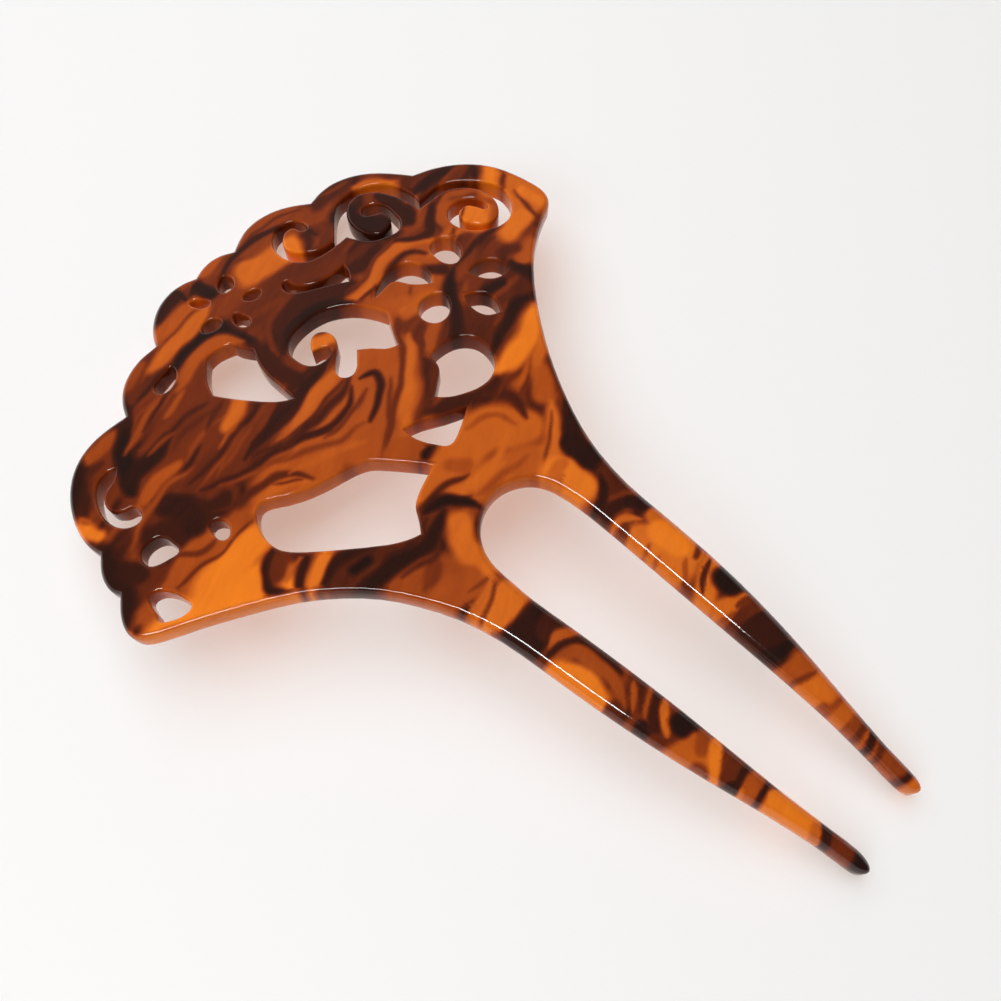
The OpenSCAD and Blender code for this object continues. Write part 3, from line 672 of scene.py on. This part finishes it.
def build_plate(sizes):
    """The rounded, arched plate as a mesh, with its tones and its walls marked on it."""
    rim = Rim(upper_outlines(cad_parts[NODE]), sizes)
    bm = bmesh.new()
    add_face(bm, *rim.face(sizes.upper_grid), True)
    border = [edge for edge in bm.edges if edge.is_boundary]
    wall = bmesh.ops.extrude_edge_only(bm, edges=border)["geom"]
    wall_verts = [item for item in wall if isinstance(item, bmesh.types.BMVert)]
    bmesh.ops.scale(bm, vec=(1, 1, -1), verts=wall_verts)
    add_face(bm, *rim.face(sizes.under_grid), False)
    bmesh.ops.remove_doubles(bm, verts=bm.verts, dist=PLATE_MERGE)
    bmesh.ops.recalc_face_normals(bm, faces=bm.faces)

    plan = np.array([vert.co.xy for vert in bm.verts])
    bend(bm.verts)
    for face in bm.faces:
        face.smooth = True
    for edge in bm.edges:
        if len(edge.link_faces) == 2 and edge.calc_face_angle(0) > CREASE:
            edge.smooth = False
    open_edges = sum(1 for edge in bm.edges if len(edge.link_faces) != 2)
    print("plate:", len(bm.faces), "faces,", open_edges, "open edges")
    mesh = bpy.data.meshes.new("polished_plate")
    bm.to_mesh(mesh)
    bm.free()

    far, _ = rim.distances(plan)
    add_attribute(mesh, "tone", streak_tones(plan / MM))
    add_attribute(mesh, "wall", np.clip(1 - far / WALL_FADE, 0, 1))
    return mesh


def smooth_line(points):
    """A line's points with a smooth curve run through them."""
    if len(points) < 3:
        return points
    spread = np.concatenate([[2 * points[0] - points[1]], points, [2 * points[-1] - points[-2]]])
    curve = []
    for a, b, c, d in zip(spread[:-3], spread[1:-2], spread[2:-1], spread[3:]):
        for t in np.arange(CURVE_STEPS) / CURVE_STEPS:
            cubic = 3 * b - a - 3 * c + d
            square = 2 * a - 5 * b + 4 * c - d
            curve.append(b + 0.5 * ((c - a) * t + square * t * t + cubic * t**3))
    curve.append(points[-1])
    return np.array(curve)


def stroke_cover(places, line, half_width, blur):
    """The places that a stroke reaches, and how much of each it covers: its ends taper."""
    soft = min(blur * (1 + half_width), MOST_BLUR)
    margin = half_width + soft
    reached = ((places > line.min(0) - margin) & (places < line.max(0) + margin)).all(1)
    near = np.nonzero(reached)[0]
    spots = places[near]
    steps = np.linalg.norm(np.diff(line, axis=0), axis=1)
    total = steps.sum()
    gone = np.concatenate([[0], np.cumsum(steps)])
    best = np.full(len(near), np.inf)
    along = np.zeros(len(near))
    for a, b, before, step in zip(line[:-1], line[1:], gone, steps):
        side = b - a
        share = np.clip((spots - a) @ side / (side @ side), 0, 1)
        away = np.linalg.norm(spots - a - share[:, None] * side, axis=1)
        closer = away < best
        best[closer] = away[closer]
        along[closer] = (before + share[closer] * step) / total
    # Long strokes lose up to 0.7 of their width at both ends, and short ones stay round
    slim = 0.7 * min(max(total / half_width / 5 - 0.6, 0), 1)
    width = half_width * (1 - slim * np.abs(2 * along - 1) ** 3)
    return near, eased((width + soft / 2 - best) / soft)


def wavered(x, y):
    """Places moved a little to and fro, so that no stroke's side runs quite smooth."""
    wave_x = 0.22 * np.sin(0.95 * y + 0.35 * x + 1.3) * np.sin(0.4 * x - 0.25 * y)
    wave_y = 0.22 * np.sin(0.85 * x - 0.45 * y + 0.4) * np.sin(0.3 * x + 0.45 * y + 2)
    ripple_x = 0.06 * np.sin(1.6 * x + 1.3 * y)
    ripple_y = 0.06 * np.sin(1.5 * y - 1.1 * x + 1)
    return np.column_stack([x + wave_x + ripple_x, y + wave_y + ripple_y])


def ground_tones(places):
    """Tone of the soft, wavy ground that the streaks are laid on."""
    along = places @ (math.cos(GRAIN_TURN), math.sin(GRAIN_TURN))
    across = places @ (-math.sin(GRAIN_TURN), math.cos(GRAIN_TURN))
    flow = across + 1.4 * np.sin(along * 0.21 + 0.35 * across)
    flow += 0.5 * np.sin(along * 0.53 - 0.4 * across + 1)
    broad = 0.10 * np.sin(flow * 1.15)
    fine = 0.05 * np.sin(2.7 * flow + 0.8 * np.sin(along * 0.3))
    return GROUND_TONE + broad + fine


def streak_tones(places):
    """Tone of the acetate at each place in plan, in millimetres."""
    places = wavered(*(places - DRAWN_ORIGIN).T)
    tones = ground_tones(places)
    for tone, half_width, *line in STREAKS:
        points = smooth_line(np.array(line, float).reshape(-1, 2))
        blur = PRONG_BLUR if points[:, 1].max() < PRONG_TOP else FAN_BLUR
        near, cover = stroke_cover(places, points, half_width, blur)
        tones[near] += (tone - tones[near]) * cover
    return tones


# The grain, coarse and fine: scale, detail and how far it moves the tone
GRAINS = ((420, 3, 0.13), (1300, 2, 0.06))
# How far the grain is drawn out along its run, across it and through the plate, and how it wavers
GRAIN_STRETCH, GRAIN_WAVER = (3.4, 1, 1.5), 0.9
# Scale of the faint smears on the polish, and the roughness of its best and its dullest places
SMEAR_SCALE, POLISH, SMEARED = 70, 0.04, 0.12
# Specular level of the faces and of the walls, which let more light through than they reflect
FACE_GLOSS, WALL_GLOSS = 0.5, 0.12
# The walls glow with light that comes through the acetate; this glow is painted into their colour,
# so their tone is this much clearer than a face's
PAINTED_WALL_GLOW = 0.14
ACETATE_IOR = 1.48
# Colour of the light that goes through the acetate, and so of its shadow
THROUGH_LIGHT = (0.92, 0.80, 0.73, 1)
# Where each colour stands on the scale of tones
TONE_STEPS = {
    "smoke": 0.0,
    "umber": 0.25,
    "chestnut": 0.45,
    "amber": 0.65,
    "honey": 0.80,
    "glow": 1.0,
}


def maths(tree, operation, *values):
    """The output of a Math node, whose values are numbers or the outputs of other nodes."""
    node = tree.nodes.new("ShaderNodeMath")
    node.operation = operation
    for socket, value in zip(node.inputs, values):
        if isinstance(value, bpy.types.NodeSocket):
            tree.links.new(value, socket)
        else:
            socket.default_value = value
    return node.outputs[0]


def range_of(tree, value, first, last, start=0.0, end=1.0, easing="LINEAR"):
    """The output of a Map Range node: first at start and before it, last from end on."""
    node = tree.nodes.new("ShaderNodeMapRange")
    node.interpolation_type = easing
    node.inputs["From Min"].default_value = start
    node.inputs["From Max"].default_value = end
    node.inputs["To Min"].default_value = first
    node.inputs["To Max"].default_value = last
    tree.links.new(value, node.inputs["Value"])
    return node.outputs["Result"]


def drawn(tree, name):
    """The output of a node that reads one of the mesh's attributes."""
    node = tree.nodes.new("ShaderNodeAttribute")
    node.attribute_name = name
    return node.outputs["Fac"]


def noise(tree, vector, scale, detail=2.0, distortion=0.0):
    """The output of a Noise node."""
    node = tree.nodes.new("ShaderNodeTexNoise")
    node.inputs["Scale"].default_value = scale
    node.inputs["Detail"].default_value = detail
    node.inputs["Distortion"].default_value = distortion
    tree.links.new(vector, node.inputs["Vector"])
    return node.outputs["Fac"]


def colour_ramp(tree, tone, colours):
    """The colour of each tone, from smoke to glow."""
    node = tree.nodes.new("ShaderNodeValToRGB")
    elements = node.color_ramp.elements
    while len(elements) < len(TONE_STEPS):
        elements.new(0.5)
    for element, (name, step) in zip(elements, TONE_STEPS.items()):
        element.position = step
        element.color = (*getattr(colours, name), 1)
    tree.links.new(tone, node.inputs["Fac"])
    return node.outputs["Color"]


def acetate(colours):
    """Glossy, translucent acetate with dark streaks in it."""
    material = bpy.data.materials.new("tortoiseshell_acetate")
    material.use_nodes = True
    tree = material.node_tree
    nodes, links = tree.nodes, tree.links
    shader = nodes["Principled BSDF"]
    shader.inputs["IOR"].default_value = ACETATE_IOR
    place = nodes.new("ShaderNodeTexCoord").outputs["Object"]
    grain = nodes.new("ShaderNodeMapping")
    grain.vector_type = "TEXTURE"
    grain.inputs["Rotation"].default_value = (0, 0, GRAIN_TURN)
    grain.inputs["Scale"].default_value = GRAIN_STRETCH
    links.new(place, grain.inputs["Vector"])

    tone = drawn(tree, "tone")
    for scale, detail, amount in GRAINS:
        fleck = noise(tree, grain.outputs["Vector"], scale, detail, GRAIN_WAVER)
        tone = maths(tree, "MULTIPLY_ADD", maths(tree, "SUBTRACT", fleck, 0.5), amount, tone)
    wall = drawn(tree, "wall")
    # Painted glow: the walls' tone is made clearer, as if they were lit from within
    tone = maths(tree, "MULTIPLY_ADD", wall, PAINTED_WALL_GLOW, tone)
    links.new(colour_ramp(tree, tone, colours), shader.inputs["Base Color"])

    smears = noise(tree, place, SMEAR_SCALE)
    links.new(range_of(tree, smears, POLISH, SMEARED), shader.inputs["Roughness"])
    gloss = range_of(tree, maths(tree, "POWER", wall, 3), FACE_GLOSS, WALL_GLOSS)
    links.new(gloss, shader.inputs["Specular IOR Level"])

    # Its shadow is warm and pale, because much of the light goes through it
    path = nodes.new("ShaderNodeLightPath")
    clear = nodes.new("ShaderNodeBsdfTransparent")
    clear.inputs["Color"].default_value = THROUGH_LIGHT
    blend = nodes.new("ShaderNodeMixShader")
    links.new(path.outputs["Is Shadow Ray"], blend.inputs["Fac"])
    links.new(shader.outputs["BSDF"], blend.inputs[1])
    links.new(clear.outputs["BSDF"], blend.inputs[2])
    links.new(blend.outputs["Shader"], nodes["Material Output"].inputs["Surface"])
    return material


class HAIRPIN_OT_plate(bpy.types.Operator):
    """Makes the polished plate: fan, neck, shoulders and prongs in one piece"""

    bl_idname = "hairpin.plate"
    bl_label = "Polished Plate"

    def execute(self, context):
        mesh = build_plate(context.scene.hairpin_sizes)
        piece = bpy.data.objects.new("polished_hairpin", mesh)
        context.scene.collection.objects.link(piece)
        mesh.materials.append(acetate(context.scene.hairpin_colours))
        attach(piece, "root")
        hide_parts(NODE)
        return {"FINISHED"}


# The photograph's camera: where it looks, from which side and how far off
CAMERA_TARGET = Vector((3.901, 3.757, -0.316)) * MM
CAMERA_TURN = math.radians(-51.104)
CAMERA_RISE = math.radians(67.625)
CAMERA_AWAY = 152.996 * MM
FOCAL_PIXELS = 1070.6
PHOTO_PIXELS = 1001
SENSOR = 36.0
# The camera was fitted to an arch whose crest lay at the drawn origin. The solid's crest is in the
# frame's middle, so the camera leans by the angle between them
CREST_Y = DRAWN_ORIGIN[1] * MM
CAMERA_LEAN = -CREST_Y / ARCH_RADIUS

# Lamps that only light: name, place, width and height in metres, and power in watts
LAMPS = (
    ("ceiling", (0.1, 0.35, 0.95), (1.2, 1.2), 12.1),
    ("side_box", (-0.62, 0.0, 0.62), (0.5, 0.4), 2.4),
)
# The narrow lamp whose reflection is the white line along the edges
EDGE_LAMP = ("edge_strip", (-0.385, -0.03, 0.56), (0.42, 0.045), 2.8)

# How bright the studio is all round, and in two paler parts: on the wall behind the fan, which lies
# towards FAN_WALL_TOWARDS, and in a low band near the floor. Each part fades between two measures
DIM_WALL = 0.07
FAN_WALL, FAN_WALL_TOWARDS, FAN_WALL_FADE = 0.165, (0.6, 0.7, 0.39), (0.8, 0.95)
LOW_WALL, LOW_WALL_FADE = 0.8, (0.1, 0.3)
WALL_COLOUR = (1, 0.99, 0.98, 1)
# Half the side of the floor, in metres, and the colour of its paper
FLOOR_HALF = 0.8
PAPER_COLOUR = (0.86, 0.855, 0.85, 1)


def aim(obj, place, target):
    """Puts a lamp or camera at a place, looking at a target."""
    obj.location = place
    obj.rotation_euler = (target - place).to_track_quat("-Z", "Y").to_euler()


def add_camera(scene):
    """A camera at the photograph's viewing angle."""
    data = bpy.data.cameras.new("photo_camera")
    data.sensor_width = SENSOR
    data.lens = FOCAL_PIXELS * SENSOR / PHOTO_PIXELS
    data.clip_start = 0.01
    camera = bpy.data.objects.new("photo_camera", data)
    scene.collection.objects.link(camera)
    back = Vector(
        (
            math.sin(CAMERA_TURN) * math.cos(CAMERA_RISE),
            -math.cos(CAMERA_TURN) * math.cos(CAMERA_RISE),
            math.sin(CAMERA_RISE),
        )
    )
    crest = Vector((0, CREST_Y, CAD_HIGH.z))
    lean = Matrix.Rotation(CAMERA_LEAN, 3, "X")
    place = crest + lean @ (CAMERA_TARGET + back * CAMERA_AWAY - crest)
    target = crest + lean @ (CAMERA_TARGET - crest)
    aim(camera, place, target)
    scene.camera = camera


def add_lamp(scene, name, place, size, power):
    """A rectangular lamp that faces the hairpin; size is its width and height."""
    data = bpy.data.lights.new(name, "AREA")
    data.shape = "RECTANGLE"
    data.size, data.size_y = size
    data.energy = power
    lamp = bpy.data.objects.new(name, data)
    scene.collection.objects.link(lamp)
    aim(lamp, Vector(place), Vector((0, 0, 0)))
    return lamp


def add_room(scene):
    """A dim studio, pale near the floor and on the wall behind the fan."""
    world = bpy.data.worlds.new("studio")
    world.use_nodes = True
    tree = world.node_tree
    direction = tree.nodes.new("ShaderNodeTexCoord").outputs["Generated"]
    towards = tree.nodes.new("ShaderNodeVectorMath")
    towards.operation = "DOT_PRODUCT"
    towards.inputs[1].default_value = FAN_WALL_TOWARDS
    tree.links.new(direction, towards.inputs[0])
    height = tree.nodes.new("ShaderNodeSeparateXYZ")
    tree.links.new(direction, height.inputs["Vector"])
    fan_wall = range_of(
        tree, towards.outputs["Value"], DIM_WALL, FAN_WALL, *FAN_WALL_FADE, "SMOOTHSTEP"
    )
    low_wall = range_of(tree, height.outputs["Z"], LOW_WALL, DIM_WALL, *LOW_WALL_FADE, "SMOOTHSTEP")
    background = tree.nodes["Background"]
    background.inputs["Color"].default_value = WALL_COLOUR
    tree.links.new(maths(tree, "MAXIMUM", fan_wall, low_wall), background.inputs["Strength"])
    scene.world = world


def add_floor(scene):
    """The plain pale floor."""
    mesh = bpy.data.meshes.new("floor")
    bm = bmesh.new()
    bmesh.ops.create_grid(bm, x_segments=1, y_segments=1, size=FLOOR_HALF)
    bm.to_mesh(mesh)
    bm.free()
    floor = bpy.data.objects.new("floor", mesh)
    scene.collection.objects.link(floor)
    paper = bpy.data.materials.new("pale_paper")
    paper.use_nodes = True
    shader = paper.node_tree.nodes["Principled BSDF"]
    shader.inputs["Base Color"].default_value = PAPER_COLOUR
    shader.inputs["Roughness"].default_value = 0.6
    mesh.materials.append(paper)


class HAIRPIN_OT_stage(bpy.types.Operator):
    """Makes the pale floor, the soft lights and the camera"""

    bl_idname = "hairpin.stage"
    bl_label = "Stage"

    def execute(self, context):
        scene = context.scene
        add_floor(scene)
        add_room(scene)
        for lamp in LAMPS:
            add_lamp(scene, *lamp).visible_glossy = False
        add_lamp(scene, *EDGE_LAMP).visible_diffuse = False
        add_camera(scene)
        scene.view_settings.view_transform = "Standard"
        return {"FINISHED"}


class HAIRPIN_PT_panel(bpy.types.Panel):
    """Sidebar panel with the sizes, the colours and the operators."""

    bl_label = "Hairpin"
    bl_space_type = "VIEW_3D"
    bl_region_type = "UI"
    bl_category = "Hairpin"

    def draw(self, context):
        for name in HairpinSizes.__annotations__:
            self.layout.prop(context.scene.hairpin_sizes, name)
        for name in HairpinColours.__annotations__:
            self.layout.prop(context.scene.hairpin_colours, name)
        for operator in OPERATORS:
            self.layout.operator(operator.bl_idname)


OPERATORS = (HAIRPIN_OT_plate, HAIRPIN_OT_stage)
CLASSES = (HairpinSizes, HairpinColours, *OPERATORS, HAIRPIN_PT_panel)


def register():
    """Registers the classes and the scene's settings."""
    for cls in CLASSES:
        bpy.utils.register_class(cls)
    bpy.types.Scene.hairpin_sizes = bpy.props.PointerProperty(type=HairpinSizes)
    bpy.types.Scene.hairpin_colours = bpy.props.PointerProperty(type=HairpinColours)


def unregister():
    """Removes them again."""
    del bpy.types.Scene.hairpin_colours
    del bpy.types.Scene.hairpin_sizes
    for cls in reversed(CLASSES):
        bpy.utils.unregister_class(cls)


def main():
    register()
    bpy.ops.hairpin.plate()
    bpy.ops.hairpin.stage()


if __name__ == "__main__":
    main()
